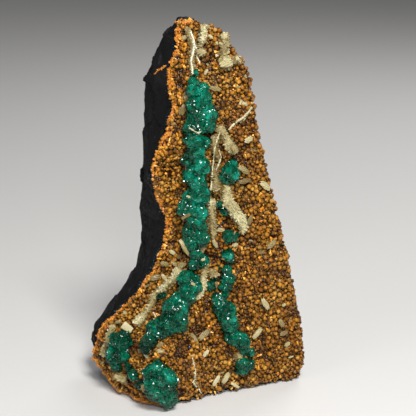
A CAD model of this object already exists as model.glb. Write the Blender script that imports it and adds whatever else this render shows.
"""Green apophyllite on brown chalcedony: a standing mineral specimen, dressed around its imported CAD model.

Lengths are in metres, x to the right, y into the stone, z up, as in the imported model.
"""

import math
import random

import bpy
from mathutils import Matrix, Vector


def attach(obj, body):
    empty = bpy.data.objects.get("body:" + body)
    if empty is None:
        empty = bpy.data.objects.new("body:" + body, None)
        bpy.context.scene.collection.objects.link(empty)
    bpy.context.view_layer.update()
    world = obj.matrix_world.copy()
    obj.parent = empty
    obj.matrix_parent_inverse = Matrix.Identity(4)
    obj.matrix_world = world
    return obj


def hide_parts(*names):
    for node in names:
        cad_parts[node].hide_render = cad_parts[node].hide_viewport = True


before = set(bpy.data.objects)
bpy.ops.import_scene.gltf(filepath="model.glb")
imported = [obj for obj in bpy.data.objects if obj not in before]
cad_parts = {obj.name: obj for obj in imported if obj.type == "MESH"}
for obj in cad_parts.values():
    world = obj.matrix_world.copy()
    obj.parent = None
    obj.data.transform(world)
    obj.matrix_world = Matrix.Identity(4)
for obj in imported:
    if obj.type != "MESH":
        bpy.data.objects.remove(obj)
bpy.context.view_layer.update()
MM = 0.001

# View of the specimen.
# The specimen stands on a pale floor and is seen from a metre away, a little from above, in soft studio light
# with the main light high in front.
PHOTO_SIDE = 416
PHOTO_SCALE = 0.6 * MM
SIGHT_DOWN = math.radians(15)
SIGHT_LENGTH = 1.0
TARGET = Vector((6.68, -12.79, 117.0)) * MM
SENSOR = 36.0
WHITE = (1.0, 1.0, 1.0)
sight = Vector((0.0, math.cos(SIGHT_DOWN), -math.sin(SIGHT_DOWN)))
sight_up = Vector((0.0, math.sin(SIGHT_DOWN), math.cos(SIGHT_DOWN)))
station = TARGET - sight * SIGHT_LENGTH


def start_piece(name, add, **settings):
    """Adds one named object with an add operator, with nothing else selected."""
    bpy.ops.object.select_all(action="DESELECT")
    add(**settings)
    piece = bpy.context.object
    piece.name = name
    return piece


level_turn = math.radians(90) - SIGHT_DOWN
camera = start_piece("camera", bpy.ops.object.camera_add, location=station, rotation=(level_turn, 0.0, 0.0))
camera.data.sensor_width = SENSOR
camera.data.lens = SENSOR * SIGHT_LENGTH / (PHOTO_SIDE * PHOTO_SCALE)
bpy.context.scene.camera = camera
bpy.context.scene.view_settings.view_transform = "Standard"


def add_light(name, place, size, power, colour):
    """Adds a square soft light that shines at the middle of the specimen."""
    turn = (TARGET - Vector(place)).to_track_quat("-Z", "Y").to_euler()
    light = start_piece(name, bpy.ops.object.light_add, type="AREA", location=place, rotation=turn)
    light.data.size = size
    light.data.energy = power
    light.data.color = colour


add_light("key_light", (0.28, -0.85, 1.2), 0.4, 26.0, (1.0, 0.98, 0.95))
add_light("left_light", (-0.9, -0.9, 0.6), 0.5, 3.0, (0.97, 0.98, 1.0))
add_light("glint_light", (0.12, -1.0, 0.62), 0.16, 5.0, WHITE)
add_light("back_light", (0.4, 0.9, 0.9), 0.6, 5.0, WHITE)


def set_inputs(tree, node, inputs):
    """Gives a node its inputs: each is a socket to link from, or a value."""
    for socket, value in inputs.items():
        if isinstance(value, bpy.types.NodeSocket):
            tree.links.new(value, node.inputs[socket])
        else:
            node.inputs[socket].default_value = value


def new_material(name):
    """A node material. Returns it with its tree and its surface shader."""
    material = bpy.data.materials.new(name)
    material.use_nodes = True
    return material, material.node_tree, material.node_tree.nodes["Principled BSDF"]


def plain_material(name, colour, roughness):
    """A material that is the same all over."""
    material, tree, shader = new_material(name)
    set_inputs(tree, shader, {"Base Color": (*colour, 1.0), "Roughness": roughness})
    return material


WORLD_LIGHT = {"Color": (0.62, 0.63, 0.65, 1.0), "Strength": 0.17}
world = bpy.data.worlds.new("studio")
world.use_nodes = True
set_inputs(world.node_tree, world.node_tree.nodes["Background"], WORLD_LIGHT)
bpy.context.scene.world = world

FLOOR_SIZE = 6.0
FLOOR_COLOUR = (0.6, 0.595, 0.585)
floor = start_piece("floor", bpy.ops.mesh.primitive_plane_add, size=FLOOR_SIZE)
floor.data.materials.append(plain_material("pale_floor", FLOOR_COLOUR, 0.6))

# Basalt matrix.
# The dark stone that everything grew on: dense near-black basalt, broken along its sides and back, with a
# flat trimmed foot. It is one solid, made fine here so that its broken faces carry chips and grain.
MERGE_DISTANCE = 0.001 * MM
BASALT_VOXEL = 1.05 * MM
FACETS = ((19.0 * MM, 0.075, 1), (6.5 * MM, 0.085, 2))
FACET_SHIFT = 0.1
GRAIN_SIZE = 1.6 * MM
GRAIN_DEPTH = 0.2 * MM
FOOT_BAND = (0.3 * MM, 2.5 * MM)
BASALT_CREASE = math.radians(32)
MIDDLE = (0.5, 0.5, 0.5)


def work_on(*pieces):
    """Selects these pieces alone and makes the first the active one."""
    bpy.ops.object.select_all(action="DESELECT")
    for piece in pieces:
        piece.select_set(True)
    bpy.context.view_layer.objects.active = pieces[0]


def copy_of(node, name):
    """Makes a new piece from a CAD node's shape, with its loose triangles merged into one skin."""
    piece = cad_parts[node].copy()
    piece.data = piece.data.copy()
    piece.name = piece.data.name = name
    piece.parent = None
    bpy.context.collection.objects.link(piece)
    piece.data.materials.clear()
    work_on(piece)
    bpy.ops.object.mode_set(mode="EDIT")
    bpy.ops.mesh.select_all(action="SELECT")
    bpy.ops.mesh.remove_doubles(threshold=MERGE_DISTANCE)
    bpy.ops.object.mode_set(mode="OBJECT")
    return piece


def apply_modifier(piece, kind, **settings):
    """Adds a modifier to a piece and applies it."""
    work_on(piece)
    modifier = piece.modifiers.new(kind.lower(), kind)
    for name, value in settings.items():
        setattr(modifier, name, value)
    bpy.ops.object.modifier_apply(modifier=modifier.name)


def add_node(tree, kind, inputs=None, **settings):
    """Adds a node to a tree."""
    made = tree.nodes.new(kind)
    for name, value in settings.items():
        setattr(made, name, value)
    set_inputs(tree, made, inputs or {})
    return made


def new_growth(name):
    """Starts a geometry tree. Returns it with the socket that comes in and the one that goes out."""
    tree = bpy.data.node_groups.new(name, "GeometryNodeTree")
    tree.interface.new_socket("Geometry", in_out="INPUT", socket_type="NodeSocketGeometry")
    tree.interface.new_socket("Geometry", in_out="OUTPUT", socket_type="NodeSocketGeometry")
    return tree, tree.nodes.new("NodeGroupInput").outputs[0], tree.nodes.new("NodeGroupOutput").inputs[0]


def math_of(tree, operation, first, second=0.0, third=0.0):
    """A math node in a tree, with its result."""
    inputs = {0: first, 1: second}
    if operation == "MULTIPLY_ADD":
        inputs[2] = third
    return add_node(tree, "ShaderNodeMath", inputs, operation=operation).outputs[0]


def ramp_of(tree, value, low, high, to_low=0.0, to_high=1.0):
    """A clamped ramp: as a value goes from low to high, it goes from to_low to to_high."""
    inputs = {"Value": value, "From Min": low, "From Max": high, "To Min": to_low, "To Max": to_high}
    return add_node(tree, "ShaderNodeMapRange", inputs, clamp=True).outputs[0]


basalt = copy_of("basalt_matrix", "basalt_stone")
apply_modifier(basalt, "REMESH", mode="VOXEL", voxel_size=BASALT_VOXEL)


def vector_of(tree, operation, first, second=None, output=0):
    """A vector math node in a tree, with its result."""
    inputs = {0: first} if second is None else {0: first, 1: second}
    return add_node(tree, "ShaderNodeVectorMath", inputs, operation=operation).outputs[output]


def scaled(tree, vector, scale):
    """A vector times a number."""
    return add_node(tree, "ShaderNodeVectorMath", {0: vector, "Scale": scale}, operation="SCALE").outputs[0]


def position_in(tree):
    """The place of each point in a geometry tree."""
    return add_node(tree, "GeometryNodeInputPosition").outputs[0]


def normal_in(tree):
    """The way that each point of a shape faces, in a geometry tree."""
    return add_node(tree, "GeometryNodeInputNormal").outputs[0]


def axis_of(tree, vector, axis):
    """One part of a vector: X, Y or Z."""
    return add_node(tree, "ShaderNodeSeparateXYZ", {0: vector}).outputs[axis]


def noise_of(tree, place, scale, detail, output="Fac"):
    """Soft noise over a place, with so many lumps in a metre."""
    inputs = {"Vector": place, "Scale": scale, "Detail": detail}
    return add_node(tree, "ShaderNodeTexNoise", inputs).outputs[output]


def pushed_out(tree, shape, depth):
    """A shape with each of its points moved along its normal by a depth."""
    offset = scaled(tree, normal_in(tree), depth)
    return add_node(tree, "GeometryNodeSetPosition", {"Geometry": shape, "Offset": offset}).outputs[0]


tree, shape, result = new_growth("basalt_breaks")
place = position_in(tree)
grain = noise_of(tree, place, 1.0 / GRAIN_SIZE, 3.0)
depth = math_of(tree, "MULTIPLY", math_of(tree, "SUBTRACT", grain, 0.5), GRAIN_DEPTH)
for facet_size, slope, number in FACETS:
    apart = (FACET_SHIFT * number, 0.0, 0.0)
    inputs = {"Vector": vector_of(tree, "ADD", place, apart), "Scale": 1.0 / facet_size}
    cell = add_node(tree, "ShaderNodeTexVoronoi", inputs, feature="F1")
    middle = vector_of(tree, "SUBTRACT", cell.outputs["Position"], apart)
    lean = vector_of(tree, "SUBTRACT", cell.outputs["Color"], MIDDLE)
    offset = vector_of(tree, "SUBTRACT", place, middle)
    step = vector_of(tree, "DOT_PRODUCT", offset, lean, "Value")
    depth = math_of(tree, "MULTIPLY_ADD", step, slope * 2.0, depth)
depth = math_of(tree, "MULTIPLY", depth, ramp_of(tree, axis_of(tree, place, "Z"), *FOOT_BAND))
tree.links.new(pushed_out(tree, shape, depth), result)
apply_modifier(basalt, "NODES", node_group=tree)
work_on(basalt)
bpy.ops.object.shade_smooth_by_angle(angle=BASALT_CREASE)


def colours_of(tree, value, stops):
    """A colour ramp in a material's tree, from pairs of place and colour."""
    ramp = add_node(tree, "ShaderNodeValToRGB", {"Fac": value})
    while len(ramp.color_ramp.elements) < len(stops):
        ramp.color_ramp.elements.new(0.5)
    for element, (where, colour) in zip(ramp.color_ramp.elements, stops):
        element.position = where
        element.color = (*colour, 1.0)
    return ramp.outputs["Color"]


def object_place(tree):
    """Where a point of a piece is, for a pattern that runs through the stone."""
    return add_node(tree, "ShaderNodeTexCoord").outputs["Object"]


BASALT_COLOURS = [(0.3, (0.002, 0.002, 0.0025)), (0.55, (0.005, 0.005, 0.0055)), (0.75, (0.012, 0.011, 0.01))]
BASALT_MOTTLE = (60.0, 5.0)
BASALT_SPECKS = 700.0
BASALT_GRAIN = (1400.0, 4.0)
BASALT_ROUGHNESS = (0.1, 0.7, 0.5, 0.85)
BASALT_RELIEF = {"Strength": 0.5, "Distance": 0.4 * MM}
BASALT_SURFACE = {"Specular IOR Level": 0.16}
basalt_material, tree, shader = new_material("black_basalt")
place = object_place(tree)
speck = add_node(tree, "ShaderNodeTexVoronoi", {"Vector": place, "Scale": BASALT_SPECKS}).outputs["Distance"]
relief = {"Height": noise_of(tree, place, *BASALT_GRAIN), **BASALT_RELIEF}
surface = {
    "Base Color": colours_of(tree, noise_of(tree, place, *BASALT_MOTTLE), BASALT_COLOURS),
    "Roughness": ramp_of(tree, speck, *BASALT_ROUGHNESS),
    "Normal": add_node(tree, "ShaderNodeBump", relief).outputs["Normal"],
    **BASALT_SURFACE,
}
set_inputs(tree, shader, surface)
basalt.data.materials.append(basalt_material)
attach(basalt, "root")
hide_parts("basalt_matrix")

# Chalcedony crust.
# A sheet of brown chalcedony about three millimetres thick that lines the front of the stone. Its face is
# grown over with small round balls in grape-like groups, dusted with drusy quartz. Its left edge is broken.
CRUST_VOXEL = 0.95 * MM
LARGE_BALL_SPACING = 2.7 * MM
SMALL_BALL_SPACING = 1.45 * MM
LARGE_BALL_RADIUS = (1.0 * MM, 1.9 * MM)
SMALL_BALL_RADIUS = (0.6 * MM, 1.15 * MM)
LARGE_BALL_LUMP = 0.11
SMALL_BALL_LUMP = 0.08
BALL_WAVE = (5.0, 3.0, 4.0)
BALL_SEED = 4
BALL_SINK = -0.3
BALL_TILT = 0.3
OUTER_FACING = -0.2
MOST_DENSE = 4.0e6
CRUST_PARTING = 95.0 * MM
GROWTH_CLEARANCE = 0.55 * MM

crust = copy_of("chalcedony_crust", "crust_sheet")
apply_modifier(crust, "REMESH", mode="VOXEL", voxel_size=CRUST_VOXEL)
apply_modifier(crust, "SMOOTH", factor=0.5, iterations=2)


def new_ball(name, fineness, lump):
    """A ball a unit across its radius, a little uneven, cut off below where it grows out of the crust."""
    ball = start_piece(name, bpy.ops.mesh.primitive_ico_sphere_add, subdivisions=fineness, radius=1.0)
    for corner in ball.data.vertices:
        corner.co *= 1.0 + lump * math.sin(sum(beat * part for beat, part in zip(BALL_WAVE, corner.co)))
    bpy.ops.object.mode_set(mode="EDIT")
    bpy.ops.mesh.select_all(action="SELECT")
    bottom = (0.0, 0.0, BALL_SINK)
    bpy.ops.mesh.bisect(plane_co=bottom, plane_no=(0.0, 0.0, 1.0), use_fill=True, clear_inner=True)
    bpy.ops.object.mode_set(mode="OBJECT")
    return ball


large_ball = new_ball("large_ball", 2, LARGE_BALL_LUMP)
small_ball = new_ball("small_ball", 1, SMALL_BALL_LUMP)

# The shapes of all the other minerals, which the balls stay clear of.
growth_names = sorted(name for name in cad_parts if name.startswith(("apophyllite_", "stilbite_")))
guide = copy_of(growth_names[0], "growth_guide")
for name in growth_names[1:]:
    other = copy_of(name, "growth_guide_part")
    work_on(guide, other)
    bpy.ops.object.join()


def object_geometry(tree, piece):
    """Another piece's mesh, read inside a geometry tree."""
    inputs = {"Object": piece, "As Instance": False}
    return add_node(tree, "GeometryNodeObjectInfo", inputs, transform_space="ORIGINAL").outputs["Geometry"]


def nearest_on(tree, piece, place):
    """The nearest place on another piece's faces, and how far it is."""
    inputs = {0: object_geometry(tree, piece), "Sample Position": place}
    near = add_node(tree, "GeometryNodeProximity", inputs, target_element="FACES")
    return near.outputs["Position"], near.outputs["Distance"]


def compare(tree, value, operation, limit):
    """True where a value is GREATER_THAN or LESS_THAN a limit."""
    return add_node(tree, "FunctionNodeCompare", {0: value, 1: limit}, operation=operation).outputs[0]


def random_of(tree, low, high, seed):
    """A random number for each point or copy."""
    inputs = {2: low, 3: high, "Seed": seed}
    return add_node(tree, "FunctionNodeRandomValue", inputs, data_type="FLOAT").outputs[1]


def keep_attribute(tree, geometry, name, value, domain):
    """Writes a value on a geometry under a name that its material can read."""
    inputs = {"Geometry": geometry, "Name": name, "Value": value}
    settings = {"data_type": "FLOAT", "domain": domain}
    return add_node(tree, "GeometryNodeStoreNamedAttribute", inputs, **settings).outputs[0]


def scatter_turned(tree, shape, selection, spacing, seed, master, size, tilt, unwanted=None):
    """Copies of a master, set on a shape's faces to point outwards, each with its own size, turn and lean."""
    inputs = {"Mesh": shape, "Selection": selection, "Distance Min": spacing, "Seed": seed}
    inputs["Density Max"] = MOST_DENSE
    scatter = add_node(tree, "GeometryNodeDistributePointsOnFaces", inputs, distribute_method="POISSON")
    points = scatter.outputs["Points"]
    if unwanted is not None:
        inputs = {"Geometry": points, "Selection": unwanted}
        points = add_node(tree, "GeometryNodeDeleteGeometry", inputs, domain="POINT").outputs[0]
    turn_parts = {
        0: random_of(tree, -tilt, tilt, seed + 1),
        1: random_of(tree, -tilt, tilt, seed + 2),
        2: random_of(tree, -math.pi, math.pi, seed + 3),
    }
    lean = add_node(tree, "ShaderNodeCombineXYZ", turn_parts).outputs[0]
    inputs = {0: scatter.outputs["Rotation"], 1: lean}
    turn = add_node(tree, "FunctionNodeRotateRotation", inputs, rotation_space="LOCAL").outputs[0]
    scale = random_of(tree, *size, seed + 4)
    inputs = {"Points": points, "Instance": master, "Rotation": turn, "Scale": scale}
    copies = add_node(tree, "GeometryNodeInstanceOnPoints", inputs).outputs[0]
    return keep_attribute(tree, copies, "tint", random_of(tree, 0.0, 1.0, seed + 5), "INSTANCE")


def realized(tree, copies):
    """Copies as one real mesh."""
    return add_node(tree, "GeometryNodeRealizeInstances", {0: copies}).outputs[0]


def ball_geometry(tree, ball):
    """A master ball that knows how high each of its points stands."""
    rise = axis_of(tree, position_in(tree), "Z")
    return keep_attribute(tree, object_geometry(tree, ball), "rise", rise, "POINT")


# The sheet is first drawn in along narrow furrows, which part the balls into groups.
GROUP_SIZE = 8.5 * MM
FURROW_DEPTH = 2.0 * MM
FURROW_SHARE = 0.17
HOLLOW_SIZE = 16.0 * MM
HOLLOW_RANGE = (0.36, 0.46)
HOLLOW_LEAST = 0.35
WAVER_SCALE = 180.0
WAVER_REACH = 5.0 * MM
OUTER_BAND = (0.8 * MM, 2.4 * MM)
tree, shape, result = new_growth("crust_groups")
place = position_in(tree)
waver = vector_of(tree, "SUBTRACT", noise_of(tree, place, WAVER_SCALE, 1.0, "Color"), MIDDLE)
bent = vector_of(tree, "ADD", place, scaled(tree, waver, WAVER_REACH))
inputs = {"Vector": bent, "Scale": 1.0 / GROUP_SIZE}
border = add_node(tree, "ShaderNodeTexVoronoi", inputs, feature="DISTANCE_TO_EDGE").outputs["Distance"]
hollow = ramp_of(tree, noise_of(tree, place, 1.0 / HOLLOW_SIZE, 2.0), *HOLLOW_RANGE, HOLLOW_LEAST, 1.0)
crown = math_of(tree, "MULTIPLY", ramp_of(tree, border, 0.0, FURROW_SHARE), hollow)
outer = ramp_of(tree, nearest_on(tree, basalt, place)[1], *OUTER_BAND)
sunk = math_of(tree, "MULTIPLY", math_of(tree, "SUBTRACT", crown, 1.0), outer)
moved = pushed_out(tree, shape, math_of(tree, "MULTIPLY", sunk, FURROW_DEPTH))
tree.links.new(keep_attribute(tree, moved, "crown", crown, "POINT"), result)
apply_modifier(crust, "NODES", node_group=tree)
work_on(crust)
bpy.ops.object.shade_smooth()


def both(tree, first, second):
    """True where both of two tests are."""
    return add_node(tree, "FunctionNodeBooleanMath", {0: first, 1: second}, operation="AND").outputs[0]


def away_from_stone(tree):
    """How far a face turns away from the basalt: 1 is straight away, 0 along it, -1 towards it."""
    place = position_in(tree)
    outward = vector_of(tree, "SUBTRACT", place, nearest_on(tree, basalt, place)[0])
    return vector_of(tree, "DOT_PRODUCT", vector_of(tree, "NORMALIZE", outward), normal_in(tree), "Value")


def crust_growth(name, ball, spacing, radius, seed, lower):
    """A tree that grows balls of one kind on the lower or upper crust, clear of the other minerals."""
    tree, shape, result = new_growth(name)
    place = position_in(tree)
    outer = compare(tree, away_from_stone(tree), "GREATER_THAN", OUTER_FACING)
    parting = "LESS_THAN" if lower else "GREATER_THAN"
    outer = both(tree, outer, compare(tree, axis_of(tree, place, "Z"), parting, CRUST_PARTING))
    covered = compare(tree, nearest_on(tree, guide, place)[1], "LESS_THAN", GROWTH_CLEARANCE)
    master = ball_geometry(tree, ball)
    copies = scatter_turned(tree, shape, outer, spacing, seed, master, radius, BALL_TILT, covered)
    tree.links.new(realized(tree, copies), result)
    return tree


def copy_piece(piece, name):
    """A copy of a finished piece with its own mesh."""
    other = piece.copy()
    other.data = piece.data.copy()
    other.name = other.data.name = name
    bpy.context.collection.objects.link(other)
    return other


ball_kinds = (
    ("large_balls", large_ball, LARGE_BALL_SPACING, LARGE_BALL_RADIUS, BALL_SEED),
    ("small_balls", small_ball, SMALL_BALL_SPACING, SMALL_BALL_RADIUS, BALL_SEED + 10),
)
ball_pieces = []
for part, lower in (("lower", True), ("upper", False)):
    for kind, ball, spacing, radius, seed in ball_kinds:
        piece = copy_piece(crust, f"crust_{kind}_{part}")
        growth = crust_growth(piece.name, ball, spacing, radius, seed, lower)
        apply_modifier(piece, "NODES", node_group=growth)
        work_on(piece)
        bpy.ops.object.shade_smooth()
        ball_pieces.append(piece)
bpy.data.objects.remove(large_ball)
bpy.data.objects.remove(small_ball)

# The broken edge of the sheet: angular orange splinters along its left side, where it stands proud of the
# basalt.
SHARD_SPACING = 1.15 * MM
SHARD_SIZE = (0.7, 1.9)
SHARD_TILT = 0.7
SHARD_SHAPE = ((0.4, 0.2, 3.1), (0.8, 0.35, 5.3), (1.3, 0.45, 7.7))
SHARD_SEED = 31
EDGE_FACING = 0.75
EDGE_SIDE = -0.15
shard = start_piece("shard_master", bpy.ops.mesh.primitive_ico_sphere_add, subdivisions=1, radius=1.0 * MM)
for number, corner in enumerate(shard.data.vertices):
    for axis, (reach, change, beat) in enumerate(SHARD_SHAPE):
        corner.co[axis] *= reach + change * math.sin(beat * number)

tree, shape, result = new_growth("crust_edge")
facing = math_of(tree, "ABSOLUTE", away_from_stone(tree))
side = axis_of(tree, normal_in(tree), "X")
left_facing = compare(tree, side, "LESS_THAN", EDGE_SIDE)
broken = both(tree, compare(tree, facing, "LESS_THAN", EDGE_FACING), left_facing)
master = object_geometry(tree, shard)
copies = scatter_turned(tree, shape, broken, SHARD_SPACING, SHARD_SEED, master, SHARD_SIZE, SHARD_TILT)
tree.links.new(realized(tree, copies), result)
edge = copy_piece(crust, "crust_broken_edge")
apply_modifier(edge, "NODES", node_group=tree)

# The rim: at its left edge the sheet stands up in two jagged threads of bright orange chalcedony that cross.
RIM_STEP = 1.3 * MM
RIM_RADIUS = 0.8 * MM
RIM_VOXEL = 0.4 * MM
RIM_SWAYS = ((-0.5 * MM, 1.0 * MM), (1.1 * MM, 0.9 * MM))
RIM_RAISE = 0.6 * MM
RIM_SHARD_SPACING = 1.0 * MM
RIM_SHARD_SIZE = (0.4, 0.95)
RIM_SHARD_TILT = 0.8
RIM_SEED = 12
LEAP_LIMIT = 3.6 * MM


def on_specimen(right, up):
    """Where the line of sight, right of the middle and above it in millimetres, meets the stone, or None."""
    way = (sight * SIGHT_LENGTH + Vector((right * MM, 0.0, 0.0)) + sight_up * (up * MM)).normalized()
    shown = bpy.context.evaluated_depsgraph_get()
    found, place, normal, face, piece, turn = bpy.context.scene.ray_cast(shown, station, way)
    return place if found and piece != floor else None


def tube_through(name, places, radius, fineness):
    """A thin closed tube through these places, in even small faces."""
    line = bpy.data.curves.new(name, "CURVE")
    line.dimensions = "3D"
    line.bevel_depth = radius
    line.bevel_resolution = 1
    line.use_fill_caps = True
    spline = line.splines.new("POLY")
    spline.points.add(len(places) - 1)
    for point, place in zip(spline.points, places):
        point.co = (*place, 1.0)
    tube = bpy.data.objects.new(name, line)
    bpy.context.collection.objects.link(tube)
    work_on(tube)
    bpy.ops.object.convert(target="MESH")
    apply_modifier(tube, "REMESH", mode="VOXEL", voxel_size=fineness)
    return tube


def between(stops, step):
    """The places on the specimen along a line through stops given as (right, up) in millimetres."""
    route = []
    for (right, up), (next_right, next_up) in zip(stops, stops[1:]):
        steps = max(1, round(math.dist((right, up), (next_right, next_up)) * MM / step))
        for share in (number / steps for number in range(steps)):
            route.append(on_specimen(right + (next_right - right) * share, up + (next_up - up) * share))
    route.append(on_specimen(*stops[-1]))
    kept = []
    limit = LEAP_LIMIT
    for place in route:
        if place is not None and (not kept or (place - kept[-1]).length < limit):
            kept.append(place)
            limit = LEAP_LIMIT
        else:
            limit += step
    return kept


rows = {}
for corner in crust.data.vertices:
    row = round((corner.co - TARGET).dot(sight_up) / RIM_STEP)
    if row not in rows or corner.co.x < rows[row].x:
        rows[row] = corner.co.copy()
edge_route = [rows[row] for row in sorted(rows)]
chance = random.Random(RIM_SEED)
rims = []
for number, (inward, sway) in enumerate(RIM_SWAYS):
    route = []
    for place in edge_route:
        inside = inward + chance.uniform(-sway, sway)
        behind = -RIM_RAISE + chance.uniform(-sway, sway)
        route.append(place + Vector((inside, behind, 0.0)))
    rims.append(tube_through(f"crust_rim_{number + 1}", route, RIM_RADIUS, RIM_VOXEL))
# Three thin orange lines run on over the stone: radius, and stops given as (right, up), in millimetres.
SPURS = {
    "crust_spur": (0.6, ((-25.0, 85.6), (-27.0, 84.0), (-29.4, 82.8), (-31.8, 80.4))),
    "crust_top_line": (0.45, ((-15.6, 113.4), (-18.0, 112.2), (-21.0, 110.4), (-23.0, 108.8))),
    "crust_low_line": (0.4, ((-54.0, -103.8), (-49.2, -106.2), (-43.8, -109.2), (-36.6, -112.8))),
}
for name, (radius, stops) in SPURS.items():
    route = between(stops, RIM_STEP)
    if len(route) > 1:
        rims.append(tube_through(name, route, radius * MM, RIM_VOXEL))


def union_of(tree, *shapes):
    """Shapes that overlap, as one skin."""
    union = add_node(tree, "GeometryNodeMeshBoolean", operation="UNION", solver="MANIFOLD")
    for shape in shapes:
        tree.links.new(shape, union.inputs["Mesh 2"])
    return union.outputs[0]


def growth_all_over(name, master, spacing, seed, size, tilt):
    """A tree that grows copies of a master all over a shape, as one skin."""
    tree, shape, result = new_growth(name)
    copies = scatter_turned(tree, shape, True, spacing, seed, object_geometry(tree, master), size, tilt)
    tree.links.new(union_of(tree, shape, copies), result)
    return tree


tree = growth_all_over("rim_shards", shard, RIM_SHARD_SPACING, RIM_SEED, RIM_SHARD_SIZE, RIM_SHARD_TILT)
for rim in rims:
    apply_modifier(rim, "NODES", node_group=tree)

# Tiny blue-green specks sit on the basalt just outside the rim.
SPECK_SPACING = 1.5 * MM
SPECK_REACH = (0.8 * MM, 4.0 * MM)
SPECK_SIZE = (0.2, 0.45)
SPECK_TILT = 0.5
SPECK_FACING = -0.3
SPECK_SEED = 19
SPECK_COLOUR = (0.01, 0.11, 0.16)
tree, shape, result = new_growth("specks")
reach = nearest_on(tree, rims[0], position_in(tree))[1]
far_enough = compare(tree, reach, "GREATER_THAN", SPECK_REACH[0])
near_rim = both(tree, far_enough, compare(tree, reach, "LESS_THAN", SPECK_REACH[1]))
front = vector_of(tree, "DOT_PRODUCT", normal_in(tree), tuple(-sight), "Value")
shown = both(tree, near_rim, compare(tree, front, "GREATER_THAN", SPECK_FACING))
master = object_geometry(tree, shard)
copies = scatter_turned(tree, shape, shown, SPECK_SPACING, SPECK_SEED, master, SPECK_SIZE, SPECK_TILT)
tree.links.new(realized(tree, copies), result)
specks = copy_piece(basalt, "teal_specks")
apply_modifier(specks, "NODES", node_group=tree)

# One tiny dark glossy bead sits on the crust low down.
BEAD_SPOT = (-11.2, -83.6)
BEAD_RADIUS = 1.35 * MM
BEAD_COLOUR = (0.012, 0.012, 0.03)


def round_piece(name, radius, place):
    """A small ball at its place on the stone."""
    ball = start_piece(
        name, bpy.ops.mesh.primitive_ico_sphere_add, subdivisions=3, radius=radius, location=place
    )
    bpy.ops.object.transform_apply(location=True, rotation=True, scale=True)
    return ball


bead = round_piece("dark_bead", BEAD_RADIUS, on_specimen(*BEAD_SPOT))
bpy.ops.object.shade_smooth()


def new_sparkle():
    """Tiny flat crystal faces that each lean their own way, so that single ones catch the light."""
    tree = bpy.data.node_groups.new("sparkle", "ShaderNodeTree")
    for name, kind in (("Face Size", "NodeSocketFloat"), ("Lean", "NodeSocketFloat")):
        tree.interface.new_socket(name, in_out="INPUT", socket_type=kind)
    tree.interface.new_socket("Normal", in_out="OUTPUT", socket_type="NodeSocketVector")
    given = tree.nodes.new("NodeGroupInput")
    place = object_place(tree)
    scale = math_of(tree, "DIVIDE", 1.0, given.outputs["Face Size"])
    cell = add_node(tree, "ShaderNodeTexVoronoi", {"Vector": place, "Scale": scale}).outputs["Color"]
    lean = scaled(tree, vector_of(tree, "SUBTRACT", cell, MIDDLE), given.outputs["Lean"])
    normal = add_node(tree, "ShaderNodeNewGeometry").outputs["Normal"]
    turned = vector_of(tree, "NORMALIZE", vector_of(tree, "ADD", normal, lean))
    tree.links.new(turned, tree.nodes.new("NodeGroupOutput").inputs["Normal"])
    return tree


sparkle = new_sparkle()


def sparkle_of(tree, face_size, lean):
    """The sparkle of a druse, placed in one material."""
    inputs = {"Face Size": face_size, "Lean": lean}
    return add_node(tree, "ShaderNodeGroup", inputs, node_tree=sparkle).outputs["Normal"]


def attribute_of(tree, name):
    """A value that a piece carries under a name."""
    return add_node(tree, "ShaderNodeAttribute", attribute_name=name).outputs["Fac"]


# Its material: deep brown in the hollows, golden orange on the crowns, each ball with a tint of its own.
CRUST_COLOURS = [
    (0.2, (0.15, 0.05, 0.004)),
    (0.42, (0.30, 0.115, 0.008)),
    (0.62, (0.46, 0.20, 0.015)),
    (0.85, (0.60, 0.35, 0.08)),
]
FURROW_COLOUR = (0.02, 0.006, 0.0015, 1.0)
CRUST_TINT_SHARE = 0.35
CRUST_CLOUD = (45.0, 3.0)
CRUST_DRUSE = (1500.0, 3.0)
CRUST_RISE = (0.0, 0.95)
CRUST_CROWN = (0.1, 0.9, 0.2, 1.0)
CRUST_ROUGHNESS = (0.35, 0.65, 0.15, 0.45)
CRUST_SPARKLE = (0.5 * MM, 0.8)
CRUST_SURFACE = {"Specular IOR Level": 0.28}
crust_material, tree, shader = new_material("brown_chalcedony")
place = object_place(tree)
cloud = math_of(tree, "MULTIPLY", noise_of(tree, place, *CRUST_CLOUD), 1.0 - CRUST_TINT_SHARE)
mix = math_of(tree, "MULTIPLY_ADD", attribute_of(tree, "tint"), CRUST_TINT_SHARE, cloud)
rise = ramp_of(tree, attribute_of(tree, "rise"), *CRUST_RISE)
crown = ramp_of(tree, attribute_of(tree, "crown"), *CRUST_CROWN)
shade = math_of(tree, "MULTIPLY", rise, crown)
inputs = {"Factor": shade, 6: FURROW_COLOUR, 7: colours_of(tree, mix, CRUST_COLOURS)}
surface = {
    "Base Color": add_node(tree, "ShaderNodeMix", inputs, data_type="RGBA").outputs[2],
    "Roughness": ramp_of(tree, noise_of(tree, place, *CRUST_DRUSE), *CRUST_ROUGHNESS),
    "Normal": sparkle_of(tree, *CRUST_SPARKLE),
    **CRUST_SURFACE,
}
set_inputs(tree, shader, surface)

EDGE_COLOURS = [(0.2, (0.40, 0.13, 0.008)), (0.5, (0.72, 0.31, 0.025)), (0.8, (0.82, 0.48, 0.1))]
EDGE_CLOUD = (400.0, 3.0)
EDGE_ROUGHNESS = (0.3, 0.7, 0.25, 0.5)
edge_material, tree, shader = new_material("broken_chalcedony")
cloud = noise_of(tree, object_place(tree), *EDGE_CLOUD)
mix = math_of(tree, "MULTIPLY_ADD", attribute_of(tree, "tint"), 0.5, math_of(tree, "MULTIPLY", cloud, 0.5))
surface = {
    "Base Color": colours_of(tree, mix, EDGE_COLOURS),
    "Roughness": ramp_of(tree, cloud, *EDGE_ROUGHNESS),
}
set_inputs(tree, shader, surface)


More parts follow.
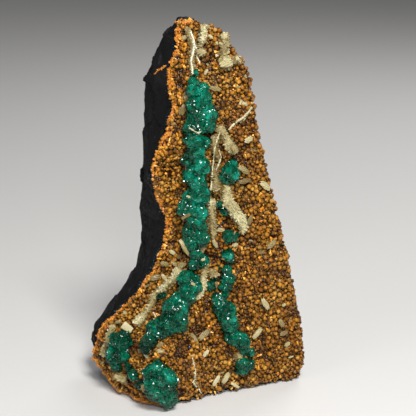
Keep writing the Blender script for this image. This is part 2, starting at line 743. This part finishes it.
def finish_piece(piece, material, slot, *nodes):
    """Gives a piece its one material, its body and its slot, and says which CAD nodes it stands for."""
    piece.data.materials.clear()
    piece.data.materials.append(material)
    piece.data.polygons.foreach_set("material_index", [0] * len(piece.data.polygons))
    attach(piece, "root")
    if nodes:
        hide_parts(*nodes)


finish_piece(crust, crust_material, "brown_chalcedony", "chalcedony_crust")
for piece in ball_pieces:
    finish_piece(piece, crust_material, "brown_chalcedony")
for piece in [edge, *rims]:
    finish_piece(piece, edge_material, "brown_chalcedony")
finish_piece(specks, plain_material("teal_specks", SPECK_COLOUR, 0.3), None)
finish_piece(bead, plain_material("dark_bead", BEAD_COLOUR, 0.15), None)
bpy.data.objects.remove(guide)

# Apophyllite.
# Green crystals grown together in lumpy ropes and cushions: each is a short square prism that ends in a low
# four-sided pyramid, glassy and clear green inside. They stand on the crust and point away from it.
CORE_VOXEL = 0.8 * MM
CORE_SMOOTHING = 5
CORE_SHRINK = 0.7 * MM
CORE_SHRINK_SHARE = 0.08
CORE_SWELLS = {
    "apophyllite_right_leg": 0.6 * MM,
    "apophyllite_right_toe": 0.9 * MM,
    "apophyllite_right_knot": 1.0 * MM,
    "apophyllite_right_pod": 0.3 * MM,
    "apophyllite_crown_bud": 0.5 * MM,
}
CRYSTAL_RADIUS = 1.0 * MM
CRYSTAL_SHOULDER = 0.35 * MM
CRYSTAL_POINT = 0.95 * MM
CRYSTAL_ROOT = 1.0 * MM
FACE_UP = 0.9
CRYSTAL_KINDS = ((2.3 * MM, (1.0, 1.4)), (1.15 * MM, (0.55, 0.9)))
CRYSTAL_TILT = 0.4
CRYSTAL_CLEARANCE = 0.9 * MM
CREST_RISE = (1.5 * MM, 9.0 * MM)
GREEN_SEED = 3
KIND_SEED_STEP = 20

crystal = start_piece("crystal_master", bpy.ops.mesh.primitive_cube_add, size=2.0)
for corner in crystal.data.vertices:
    corner.co.x *= CRYSTAL_RADIUS
    corner.co.y *= CRYSTAL_RADIUS
    corner.co.z = CRYSTAL_SHOULDER if corner.co.z > 0.0 else -CRYSTAL_ROOT
bpy.ops.object.mode_set(mode="EDIT")
bpy.ops.mesh.select_all(action="DESELECT")
bpy.ops.object.mode_set(mode="OBJECT")
for face in crystal.data.polygons:
    face.select = face.normal.z > FACE_UP
bpy.ops.object.mode_set(mode="EDIT")
bpy.ops.mesh.poke()
bpy.ops.object.mode_set(mode="OBJECT")
max(crystal.data.vertices, key=lambda corner: corner.index).co.z = CRYSTAL_POINT


def crystal_growth(name, master, clearance, kinds, seed, tilt, rise):
    """A tree that grows copies of a master over a shape, clear of the crust, in more than one size."""
    tree, shape, result = new_growth(name)
    off_crust = nearest_on(tree, crust, position_in(tree))[1]
    clear_of_crust = compare(tree, off_crust, "GREATER_THAN", clearance)
    single = object_geometry(tree, master)
    shapes = [shape]
    for spacing, size in kinds:
        shapes.append(scatter_turned(tree, shape, clear_of_crust, spacing, seed, single, size, tilt))
        seed += KIND_SEED_STEP
    crest = ramp_of(tree, off_crust, *rise)
    tree.links.new(keep_attribute(tree, union_of(tree, *shapes), "crest", crest, "POINT"), result)
    return tree


def grow_over(piece, voxel, smoothing, swell, growth):
    """Softens a piece, swells it by so much, and grows its crystals on it."""
    apply_modifier(piece, "REMESH", mode="VOXEL", voxel_size=voxel)
    apply_modifier(piece, "SMOOTH", factor=0.5, iterations=smoothing)
    apply_modifier(piece, "DISPLACE", strength=swell, mid_level=0.0)
    apply_modifier(piece, "NODES", node_group=growth)


# Its material: clear green, deeper in colour near the crust and on the left side.
GREEN_COLOURS = [
    (0.3, (0.0, 0.025, 0.01)),
    (0.46, (0.0, 0.07, 0.035)),
    (0.6, (0.0, 0.15, 0.08)),
    (0.78, (0.008, 0.36, 0.25)),
]
GREEN_SIDE = (-12.0 * MM, 4.0 * MM, -0.07, 0.0)
GREEN_CREST_TONE = 0.14
GREEN_CLOUD = (190.0, 3.0)
GREEN_FROST = (900.0, 2.0)
GREEN_ROUGHNESS = (0.35, 0.65, 0.07, 0.17)
GREEN_SPARKLE = (1.3 * MM, 0.62)
GREEN_SURFACE = {"IOR": 1.535, "Specular IOR Level": 0.27, "Transmission Weight": 0.3}
green_material, tree, shader = new_material("green_apophyllite")
place = object_place(tree)
side = ramp_of(tree, axis_of(tree, place, "X"), *GREEN_SIDE)
cloud = math_of(tree, "ADD", noise_of(tree, place, *GREEN_CLOUD), side)
crest = math_of(tree, "SUBTRACT", attribute_of(tree, "crest"), 0.5)
depth = math_of(tree, "MULTIPLY_ADD", crest, GREEN_CREST_TONE, cloud)
surface = {
    "Base Color": colours_of(tree, depth, GREEN_COLOURS),
    "Roughness": ramp_of(tree, noise_of(tree, place, *GREEN_FROST), *GREEN_ROUGHNESS),
    "Normal": sparkle_of(tree, *GREEN_SPARKLE),
    **GREEN_SURFACE,
}
set_inputs(tree, shader, surface)

green_growth = crystal_growth(
    "apophyllite_growth", crystal, CRYSTAL_CLEARANCE, CRYSTAL_KINDS, GREEN_SEED, CRYSTAL_TILT, CREST_RISE
)
for node in sorted(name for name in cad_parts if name.startswith("apophyllite_")):
    piece = copy_of(node, node.replace("apophyllite_", "green_"))
    shrink = min(CORE_SHRINK, min(piece.dimensions) * CORE_SHRINK_SHARE)
    grow_over(piece, CORE_VOXEL, CORE_SMOOTHING, CORE_SWELLS.get(node, -shrink), green_growth)
    finish_piece(piece, green_material, "green_apophyllite", node)

# Small buds too slight for nodes of their own: (right, up, radius) in millimetres, as the view shows them.
BUD_SINK = 0.35
GREEN_BUDS = [
    (13.8, 26.4, 3.2),
    (9.0, 1.2, 2.0),
    (-44.4, -100.2, 3.0),
    (-47.4, -95.4, 2.4),
    (6.6, -35.4, 1.4),
    (12.6, -16.8, 3.2),
    (20.4, -93.6, 4.0),
    (25.2, -86.4, 2.6),
    (9.6, -52.2, 2.6),
    (-30.6, -73.2, 4.4),
    (-34.8, -79.8, 4.2),
    (-37.2, -84.6, 3.0),
    (-28.2, -68.4, 3.2),
    (-26.4, -76.2, 3.2),
    (-3.6, -32.4, 4.4),
    (-8.4, -38.4, 3.4),
    (12.0, -28.2, 3.3),
    (1.8, -46.8, 2.9),
    (-3.6, 71.6, 3.6),
    (-8.2, 75.2, 2.7),
    (-1.2, 66.8, 3.0),
    (-9.6, 70.4, 3.2),
    (8.8, 18.4, 2.6),
    (11.6, 22.6, 3.0),
]
bud_places = [(on_specimen(right, up), radius * MM) for right, up, radius in GREEN_BUDS]
bud_balls = [round_piece("bud", radius, place + sight * radius * BUD_SINK) for place, radius in bud_places]
work_on(*bud_balls)
bpy.ops.object.join()
buds = bpy.context.object
buds.name = "green_small_buds"
apply_modifier(buds, "REMESH", mode="VOXEL", voxel_size=CORE_VOXEL)
apply_modifier(buds, "NODES", node_group=green_growth)
finish_piece(buds, green_material, "green_apophyllite")
bpy.data.objects.remove(crystal)

# Stilbite ridges.
# Cream stilbite grown in ropes between the crystals: each rope is a crowd of small flat needles that stand
# out from its core on all sides, so that its edges look combed.
RIDGE_VOXEL = 0.55 * MM
RIDGE_SMOOTHING = 4
RIDGE_SWELL = 0.15 * MM
RIDGE_SWELLS = {"stilbite_crown_left": -1.2 * MM, "stilbite_crown_right": -0.2 * MM}
RIDGE_TINT = 0.34
RIDGE_TINTS = {"stilbite_middle_seam_high": 0.0, "stilbite_left_seam": 0.55, "stilbite_foot_rim": 0.7}
NEEDLE_WIDTH = 0.6 * MM
NEEDLE_THICKNESS = 0.27 * MM
NEEDLE_ROOT = 0.9 * MM
NEEDLE_REACH = 0.68 * MM
NEEDLE_TAPER = 0.45
NEEDLE_KINDS = ((0.9 * MM, (0.6, 1.2)), (2.4 * MM, (1.4, 2.2)))
NEEDLE_TILT = 0.4
NEEDLE_CLEARANCE = 0.5 * MM
RIDGE_RISE = (1.2 * MM, 4.6 * MM)
RIDGE_SEED = 7

needle = start_piece("needle_master", bpy.ops.mesh.primitive_cube_add, size=2.0)
for corner in needle.data.vertices:
    end = corner.co.z > 0.0
    corner.co.x *= NEEDLE_WIDTH * (NEEDLE_TAPER if end else 1.0)
    corner.co.y *= NEEDLE_THICKNESS * (NEEDLE_TAPER if end else 1.0)
    corner.co.z = NEEDLE_REACH if end else -NEEDLE_ROOT

# Its material: cream, paler at the crest and at the top of the stone, with fine streaks along each blade and
# a little light inside.
CREAM_COLOURS = [
    (0.3, (0.16, 0.11, 0.035)),
    (0.48, (0.33, 0.27, 0.12)),
    (0.68, (0.50, 0.46, 0.27)),
    (0.86, (0.70, 0.69, 0.55)),
]
CREAM_TINT_SHARE = 0.4
CREAM_CLOUD = (55.0, 3.0)
CREAM_FIBRE = (1500.0, 3.0)
PALE_TOP = (185.0 * MM, 200.0 * MM, 0.0, 0.1)
CREST_MIDDLE = 0.66
CREST_TONE = 0.5
STREAK_COUNT = 30.0
STREAK_TONE = 0.08
STREAK_RELIEF = 0.5
CREAM_ROUGHNESS = (0.3, 0.7, 0.3, 0.55)
CREAM_RELIEF = {"Strength": 0.35, "Distance": 0.2 * MM}
CREAM_SURFACE = {
    "Subsurface Weight": 0.15,
    "Subsurface Radius": (1.0, 0.8, 0.5),
    "Subsurface Scale": 1.2 * MM,
}
cream_material, tree, shader = new_material("cream_stilbite")
place = object_place(tree)
cloud = noise_of(tree, place, *CREAM_CLOUD)
fibre = noise_of(tree, place, *CREAM_FIBRE)
lines = math_of(tree, "SINE", math_of(tree, "MULTIPLY", attribute_of(tree, "grain"), STREAK_COUNT))
crest = math_of(tree, "SUBTRACT", attribute_of(tree, "crest"), CREST_MIDDLE)
mix = ramp_of(tree, axis_of(tree, place, "Z"), *PALE_TOP)
mix = math_of(tree, "MULTIPLY_ADD", cloud, 1.0 - CREAM_TINT_SHARE, mix)
mix = math_of(tree, "MULTIPLY_ADD", attribute_of(tree, "tint"), CREAM_TINT_SHARE, mix)
mix = math_of(tree, "MULTIPLY_ADD", crest, CREST_TONE, mix)
mix = math_of(tree, "MULTIPLY_ADD", lines, STREAK_TONE, mix)
relief = {"Height": math_of(tree, "MULTIPLY_ADD", lines, STREAK_RELIEF, fibre), **CREAM_RELIEF}
surface = {
    "Base Color": colours_of(tree, mix, CREAM_COLOURS),
    "Roughness": ramp_of(tree, fibre, *CREAM_ROUGHNESS),
    "Normal": add_node(tree, "ShaderNodeBump", relief).outputs["Normal"],
    **CREAM_SURFACE,
}
set_inputs(tree, shader, surface)


def mark(piece, name, values):
    """Writes one value for each of a piece's corners, under a name that its material reads."""
    piece.data.attributes.new(name, "FLOAT", "POINT").data.foreach_set("value", values)


def mark_all(piece, name, value):
    """Writes the same value for all of a piece's corners."""
    mark(piece, name, [value] * len(piece.data.vertices))


ridge_growth = crystal_growth(
    "stilbite_growth", needle, NEEDLE_CLEARANCE, NEEDLE_KINDS, RIDGE_SEED, NEEDLE_TILT, RIDGE_RISE
)
blade_nodes = sorted(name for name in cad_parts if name.startswith("stilbite_blade_"))
for node in sorted(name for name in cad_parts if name.startswith("stilbite_")):
    if node in blade_nodes:
        continue
    piece = copy_of(node, node.replace("stilbite_", "cream_"))
    grow_over(piece, RIDGE_VOXEL, RIDGE_SMOOTHING, RIDGE_SWELLS.get(node, RIDGE_SWELL), ridge_growth)
    mark_all(piece, "tint", RIDGE_TINTS.get(node, RIDGE_TINT))
    finish_piece(piece, cream_material, "cream_stilbite", node)

# Thin white veins that are too slight for nodes: each follows the crust, or a green mass, through stops given
# as (right, up), after its radius, in millimetres.
THIN_ROPES = {
    "white_vein": (
        0.75,
        ((26.4, 60.6), (24.6, 58.2), (22.2, 55.2), (19.8, 53.4), (16.8, 51.6), (14.4, 49.2), (12.6, 46.8)),
    ),
    "white_vein_branch": (0.45, ((25.8, 57.6), (23.4, 55.2), (21.0, 52.2), (19.2, 51.0))),
    "seam_wall": (
        0.5,
        (
            (7.2, 45.6), (5.4, 40.8), (4.2, 36.6), (3.6, 31.8),
            (3.2, 27.0), (2.6, 21.6), (2.2, 15.6), (1.6, 10.8),
        ),
    ),
    "seam_thread": (0.5, ((6.6, 34.8), (7.8, 30.6), (6.6, 26.4), (4.8, 22.8))),
    "foot_vein": (
        0.35,
        ((-9.6, -88.2), (-8.4, -94.2), (-7.2, -98.4), (-8.4, -102.0), (-6.0, -106.8), (-4.2, -111.0)),
    ),
    "seam_bend": (1.9, ((15.0, 37.2), (16.8, 33.6), (16.8, 29.4))),
    "foot_vein_branch": (0.5, ((-8.4, -98.4), (-6.6, -101.4), (-9.0, -104.4), (-6.0, -108.6))),
    "crown_line": (0.6, ((-10.8, 106.8), (-8.4, 100.4), (-8.4, 95.4), (-10.2, 88.4), (-9.0, 80.4))),
    "crown_thread": (0.5, ((-8.4, 98.4), (-6.6, 94.8), (-6.6, 90.6), (-4.8, 87.0))),
    "trunk_thread": (0.45, ((-11.4, 48.0), (-9.0, 46.8), (-6.6, 45.0), (-4.2, 45.6))),
    "arm_thread": (0.4, ((-33.0, -62.4), (-31.2, -65.4), (-30.6, -69.0))),
}
ROPE_STEP = 1.4 * MM
THREAD_VOXEL = 0.34 * MM
THREAD_SPACING = 0.8 * MM
THREAD_SIZE = (0.45, 0.85)
THREAD_SEED = 47
THIN_TINT = 1.0
THICK_TINT = 0.4
THREAD_CREST = 0.7

tree = growth_all_over("stilbite_threads", needle, THREAD_SPACING, THREAD_SEED, THREAD_SIZE, NEEDLE_TILT)
for name, (radius, stops) in THIN_ROPES.items():
    rope = tube_through(name, between(stops, ROPE_STEP), radius * MM, THREAD_VOXEL)
    apply_modifier(rope, "NODES", node_group=tree)
    mark_all(rope, "tint", THIN_TINT if radius < 1.0 else THICK_TINT)
    mark_all(rope, "crest", THREAD_CREST)
    finish_piece(rope, cream_material, "cream_stilbite")

# Stilbite blades.
# Single cream crystals that lie on the crust, pearly, like grains of rice: each is a sheaf of three pointed
# leaves grown together, with a groove along each of them. One is a blunt block.
BLADE_BALL = {"segments": 16, "ring_count": 12, "radius": 1.0}
BLADE_TAPER = (2.6, 0.9)
BLADE_NARROWING = 0.62
GROOVE_WIDTH = 0.3
GROOVE_DEPTH = 0.4
SIDE_LEAVES = ((0.3, 0.52, 0.14), (-0.27, -0.54, 0.12))
LEAF_SQUEEZE = (0.72, 0.45, 0.75, 1.0)
BLADE_CREST = 0.5
BLADE_CREASE = math.radians(40)
BLOCK = "stilbite_blade_24"
BLOCK_NARROWING = 0.85
BLOCK_TAPER = (0.08, 0.1)
BLOCK_BEVEL = {"offset": 0.3, "segments": 2, "profile": 0.6}
BLOCK_TINT = 0.95
BLOCK_TILT = math.radians(-38)
BLOCK_SIZES = (4.2 * MM, 2.7 * MM, 2.4 * MM)
BLADE_RAISE = 0.9 * MM
BLADE_DIP = 0.25
DIP_STEP = 2.4
BLADE_FLATNESS = 2.4
TINT_STEP = 0.618

# The small ones: (right, up, length, width) in millimetres, and the turn in degrees.
SMALL_BLADES = [
    (-12.8, -4.8, 7.8, 2.6, 36),
    (-14.2, -23.6, 11.6, 3.2, -54),
    (-3.9, -25.8, 9.0, 3.6, 72),
    (-3.0, -31.0, 2.6, 2.2, 45),
    (-15.6, -34.2, 6.0, 4.8, 70),
    (-17.6, -28.8, 4.6, 3.4, -30),
    (16.0, -106.2, 7.4, 2.6, -25),
    (8.1, -99.0, 3.8, 1.6, 30),
    (31.4, -34.2, 3.6, 2.0, -20),
    (42.8, -43.6, 2.4, 1.4, 30),
    (-13.0, 24.0, 4.0, 1.8, 100),
    (22.2, 62.8, 4.8, 3.4, 10),
    (7.0, -13.2, 6.4, 3.0, 16),
    (31.8, -26.6, 4.6, 3.0, 24),
    (47.6, -81.8, 4.0, 3.2, 70),
    (-8.4, -77.6, 6.8, 2.8, -40),
    (-1.2, -87.2, 5.6, 2.8, 66),
    (-14.4, 102.0, 4.5, 3.2, 60),
    (-12.6, 106.8, 4.5, 2.4, 100),
    (10.8, 86.4, 8.4, 5.0, 25),
    (-4.2, 93.6, 6.0, 4.2, 20),
    (15.6, 88.8, 5.0, 3.0, -55),
    (-1.2, 81.6, 4.2, 2.4, 80),
    (-0.6, 86.4, 3.0, 1.4, -35),
    (5.4, 99.0, 2.4, 1.8, -30),
    (-3.6, 107.6, 3.6, 2.2, 115),
    (0.0, 108.4, 3.4, 2.0, 60),
    (1.6, 102.8, 3.4, 2.2, -15),
    (-4.8, 103.6, 3.0, 1.8, 150),
    (-2.4, 99.4, 3.2, 2.0, 50),
    (8.6, 102.8, 3.2, 2.0, 140),
    (11.4, 101.6, 3.4, 2.0, 30),
    (7.8, 98.6, 3.0, 1.8, 165),
    (11.4, 97.6, 3.0, 1.8, -10),
    (7.4, 93.0, 4.4, 2.4, 40),
    (11.6, 93.0, 3.8, 2.2, 65),
    (7.4, 88.2, 4.2, 2.6, 110),
    (6.0, 91.8, 3.4, 2.0, 35),
    (22.2, 79.8, 5.4, 2.0, -65),
    (5.4, 60.6, 2.6, 1.8, 50),
    (-12.6, 66.6, 4.6, 2.6, 20),
    (18.0, 72.6, 4.8, 1.6, 15),
    (27.0, 34.8, 5.0, 2.0, -10),
    (18.0, 0.6, 5.4, 1.8, -50),
    (15.6, -15.6, 4.2, 1.2, 70),
    (16.2, -22.2, 3.6, 3.2, 60),
    (26.4, -19.8, 4.2, 1.3, -8),
    (28.8, -40.2, 3.0, 1.2, 35),
    (45.6, -58.2, 3.0, 2.4, 60),
    (52.8, -64.2, 3.6, 1.2, -15),
    (49.8, -89.4, 3.6, 1.2, 25),
    (-20.4, -33.0, 4.8, 3.4, -20),
    (-36.6, -46.8, 4.8, 1.4, 40),
    (-49.8, -63.0, 3.0, 3.0, 0),
    (-54.0, -68.4, 4.0, 2.4, 30),
    (-46.2, -57.0, 2.0, 1.4, 0),
    (-27.6, -85.8, 6.4, 3.6, 15),
    (-28.8, -82.2, 5.0, 3.0, 60),
    (-36.6, -88.8, 5.0, 3.0, -25),
    (-40.8, -86.4, 4.0, 2.6, -50),
    (-39.0, -108.0, 4.4, 3.0, -60),
    (-54.0, -102.0, 6.0, 3.0, -30),
    (-58.6, -75.0, 3.6, 2.4, 110),
    (-60.8, -83.6, 4.2, 2.6, 65),
    (-63.0, -92.4, 3.6, 2.2, 80),
    (-50.0, -104.6, 4.6, 2.6, -20),
    (19.6, 63.4, 3.8, 1.8, 78),
    (-20.8, 50.4, 3.0, 1.8, 40),
    (4.8, -46.2, 4.2, 2.6, 100),
    (-9.0, -45.6, 3.0, 2.2, 0),
    (9.0, -30.6, 2.4, 1.6, 0),
    (-11.4, 6.6, 3.6, 1.6, -15),
    (-57.6, -72.0, 5.0, 3.0, 55),
    (-59.4, -79.2, 5.4, 3.0, 80),
    (-62.0, -88.0, 4.6, 2.6, 60),
]
small_places = [on_specimen(right, up) for right, up, length, width, tilt in SMALL_BLADES]

fullness, bluntness = BLADE_TAPER
blade = start_piece("blade_master", bpy.ops.mesh.primitive_uv_sphere_add, **BLADE_BALL)
for corner in blade.data.vertices:
    along, across, out = corner.co.z, corner.co.y, corner.co.x
    girth = math.sqrt(max(1.0 - along * along, 1e-6))
    taper = (1.0 - abs(along) ** fullness) ** bluntness / girth if abs(along) < 0.999 else 0.0
    groove = 1.0 - GROOVE_DEPTH * math.exp(-((across / GROOVE_WIDTH) ** 2)) * girth ** 0.5
    corner.co = (along, across * taper, out * taper * groove)
leaves = [blade]
for shift, side, lean in SIDE_LEAVES:
    leaf = copy_piece(blade, "leaf")
    squeeze = Matrix.Rotation(lean, 4, "Z") @ Matrix.Diagonal(LEAF_SQUEEZE)
    leaf.data.transform(Matrix.Translation((shift, side, 0.0)) @ squeeze)
    leaves.append(leaf)
blade.data.transform(Matrix.Diagonal((1.0, BLADE_NARROWING, 1.0, 1.0)))
work_on(*leaves)
bpy.ops.object.join()
mark(blade, "grain", [corner.co.y for corner in blade.data.vertices])

block = start_piece("block_master", bpy.ops.mesh.primitive_cube_add, size=2.0)
bpy.ops.object.mode_set(mode="EDIT")
bpy.ops.mesh.select_all(action="SELECT")
bpy.ops.mesh.bevel(**BLOCK_BEVEL)
bpy.ops.mesh.select_all(action="SELECT")
bpy.ops.mesh.subdivide(number_cuts=1)
bpy.ops.object.mode_set(mode="OBJECT")
for corner in block.data.vertices:
    corner.co.x *= BLOCK_NARROWING
    corner.co.y *= BLOCK_NARROWING - BLOCK_TAPER[0] * corner.co.x
    corner.co.z *= 1.0 - BLOCK_TAPER[1] * corner.co.x
mark(block, "grain", [corner.co.y for corner in block.data.vertices])


def widest_way(points):
    """The direction from one to the other of the two points that lie farthest apart."""
    pairs = [(first, second) for first in points for second in points]
    start, end = max(pairs, key=lambda pair: (pair[0] - pair[1]).length)
    return (end - start).normalized()


def axes_of(points):
    """Middle, directions and half sizes of a longish crystal, from its corners: long way first."""
    along = widest_way(points)
    across = widest_way([point - along * point.dot(along) for point in points])
    ways = (along, across, along.cross(across).normalized())
    reaches = [[point.dot(way) for point in points] for way in ways]
    middle = sum((way * (max(reach) + min(reach)) / 2 for way, reach in zip(ways, reaches)), Vector())
    return middle, ways, [(max(reach) - min(reach)) / 2 for reach in reaches]


def place_blade(name, master, middle, ways, sizes, tint):
    """A copy of a master crystal, stretched to its half sizes and laid along its directions."""
    piece = copy_piece(master, name)
    columns = Matrix([way * size for way, size in zip(ways, sizes)]).transposed().to_4x4()
    piece.data.transform(Matrix.Translation(middle) @ columns)
    mark_all(piece, "tint", tint)
    mark_all(piece, "crest", BLADE_CREST)
    work_on(piece)
    bpy.ops.object.shade_smooth_by_angle(angle=BLADE_CREASE)
    finish_piece(piece, cream_material, "cream_stilbite")
    return piece


def tint_of(number):
    """A tint from 0 to 1 that goes up and down from one crystal to the next."""
    return (number * TINT_STEP) % 1.0


def turned_way(turn):
    """The direction square to the line of sight that is turned so far up from the right."""
    return Vector((math.cos(turn), 0.0, 0.0)) + sight_up * math.sin(turn)


def ways_from(along):
    """Three directions for a crystal that lies along the first one and faces the view."""
    across = sight.cross(along).normalized()
    return along, across, along.cross(across)


for number, node in enumerate(blade_nodes):
    shape = copy_of(node, "blade_shape")
    middle, ways, sizes = axes_of([corner.co.copy() for corner in shape.data.vertices])
    bpy.data.objects.remove(shape)
    master, tint = blade, tint_of(number)
    if node == BLOCK:
        master, tint = block, BLOCK_TINT
        ways, sizes = ways_from(turned_way(BLOCK_TILT)), BLOCK_SIZES
    middle -= sight * BLADE_RAISE
    piece = place_blade(node.replace("stilbite_", "cream_"), master, middle, ways, sizes, tint)
    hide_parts(node)
for number, (right, up, length, width, tilt) in enumerate(SMALL_BLADES):
    if small_places[number] is None:
        continue
    dip = sight * BLADE_DIP * math.sin(number * DIP_STEP)
    ways = ways_from((turned_way(math.radians(tilt)) + dip).normalized())
    sizes = (length / 2 * MM, width / 2 * MM, width / BLADE_FLATNESS * MM)
    place_blade(f"small_blade_{number + 1}", blade, small_places[number], ways, sizes, tint_of(number + 5))
for leftover in (needle, blade, block, shard):
    bpy.data.objects.remove(leftover)
